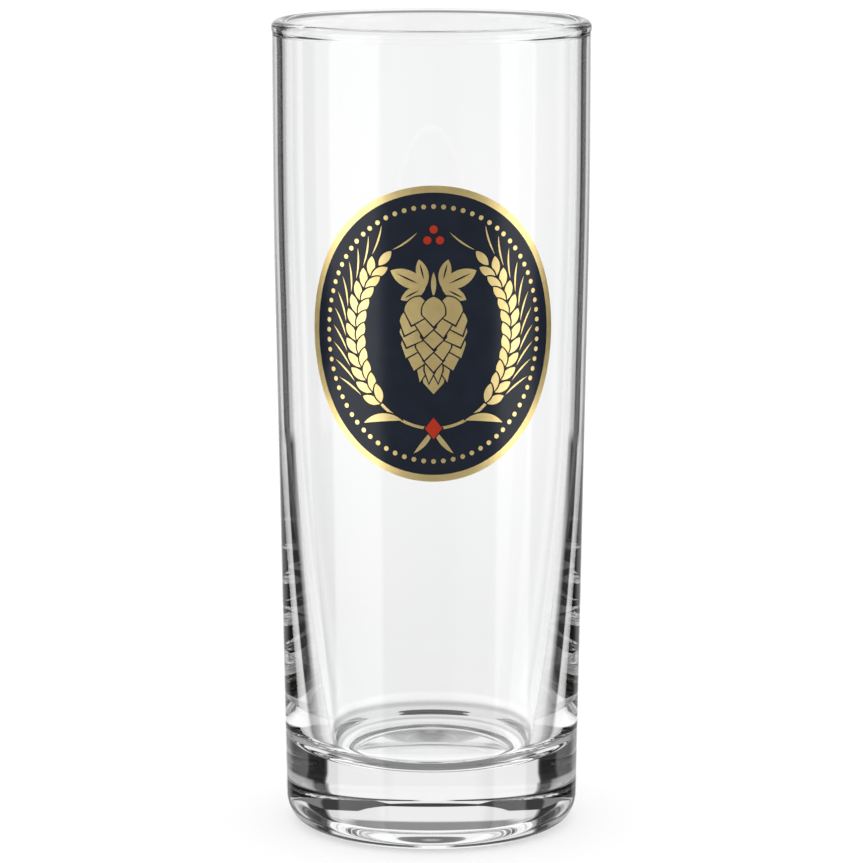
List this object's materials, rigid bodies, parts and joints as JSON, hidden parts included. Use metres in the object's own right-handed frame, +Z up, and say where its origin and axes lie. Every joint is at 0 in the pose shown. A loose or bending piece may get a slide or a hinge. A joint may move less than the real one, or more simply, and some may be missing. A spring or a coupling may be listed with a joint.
{
  "type": "beer glass",
  "caption": "Tall straight slightly tapered beer glass (stange) with a rounded rim, a thick clear base and a printed oval badge of barley and hop on one side.",
  "frame": {"origin": "on the glass's axis, in the plane of the table it stands on", "axes": "+Z up along the glass's axis; the printed badge faces -Y, with +X to its right"},
  "size_m": [0.0568, 0.0568, 0.145],
  "materials": {
    "clear_glass": "clear, fire-polished",
    "navy_enamel": "gloss fired enamel",
    "gold_enamel": "gloss fired gold",
    "red_enamel": "gloss fired enamel"
  },
  "bodies": {
    "root": {"glass_body": "clear_glass", "badge_field": "navy_enamel", "badge_border": "gold_enamel", "pearl_ring": "gold_enamel", "barley_ear_left": "gold_enamel", "barley_ear_right": "gold_enamel", "barley_stem_left": "gold_enamel", "barley_stem_right": "gold_enamel", "barley_awns_left": "gold_enamel", "barley_awns_right": "gold_enamel", "hop_cone": "gold_enamel", "hop_leaves": "gold_enamel", "wreath_tie": "red_enamel", "berry_trio": "red_enamel"}
  },
  "joints": []
}
